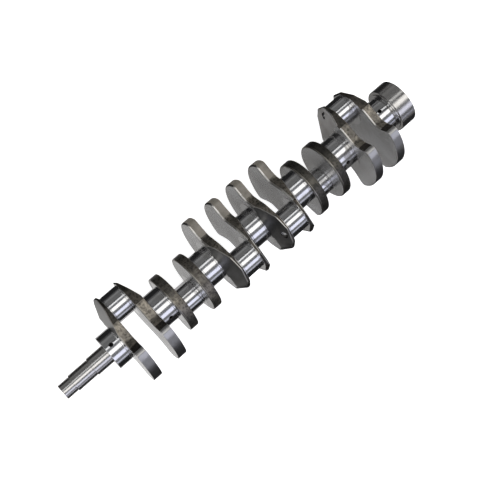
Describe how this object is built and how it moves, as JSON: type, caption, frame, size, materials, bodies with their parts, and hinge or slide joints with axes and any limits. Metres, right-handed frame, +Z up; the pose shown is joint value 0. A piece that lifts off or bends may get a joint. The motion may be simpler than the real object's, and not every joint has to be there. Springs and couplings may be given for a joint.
{
  "type": "crankshaft",
  "caption": "Forged crankshaft of an in-line engine: ground journals and crankpins, oval webs and counterweighted webs, a stepped front snout and a bolted rear flange.",
  "frame": {"origin": "on the spin axis, in the middle of the flat floor of the pilot recess in the rear flange", "axes": "+X along the spin axis towards the rear flange, the snout is at -X; +Z is up with the shaft lying in its stable roll on its webs, with the crankpins nearest both ends towards +Y"},
  "size_m": [0.9563, 0.2044, 0.1898],
  "materials": {
    "ground_journal": "ground and polished steel, fine marks round the axis",
    "web": "satin machined faces, with darker as-forged skin on the rims",
    "turned_end": "fine turned and ground steel",
    "plug_and_key": "dark hardened steel"
  },
  "bodies": {
    "root": {"main_journal_1": "ground_journal", "main_journal_2": "ground_journal", "main_journal_3": "ground_journal", "main_journal_4": "ground_journal", "main_journal_5": "ground_journal", "main_journal_6": "ground_journal", "main_journal_7": "ground_journal", "crankpin_1": "ground_journal", "crankpin_2": "ground_journal", "crankpin_3": "ground_journal", "crankpin_4": "ground_journal", "crankpin_5": "ground_journal", "crankpin_6": "ground_journal", "web_01": "web", "web_02": "web", "web_03": "web", "web_04": "web", "web_05": "web", "web_06": "web", "web_07": "web", "web_08": "web", "web_09": "web", "web_10": "web", "web_11": "web", "web_12": "web", "front_snout": "turned_end", "rear_flange": "turned_end", "timing_gear_key": "plug_and_key", "damper_key": "plug_and_key", "flange_dowel": "plug_and_key", "gallery_plug_1": "plug_and_key", "gallery_plug_2": "plug_and_key", "gallery_plug_3": "plug_and_key", "gallery_plug_4": "plug_and_key", "gallery_plug_5": "plug_and_key", "gallery_plug_6": "plug_and_key"}
  },
  "joints": []
}
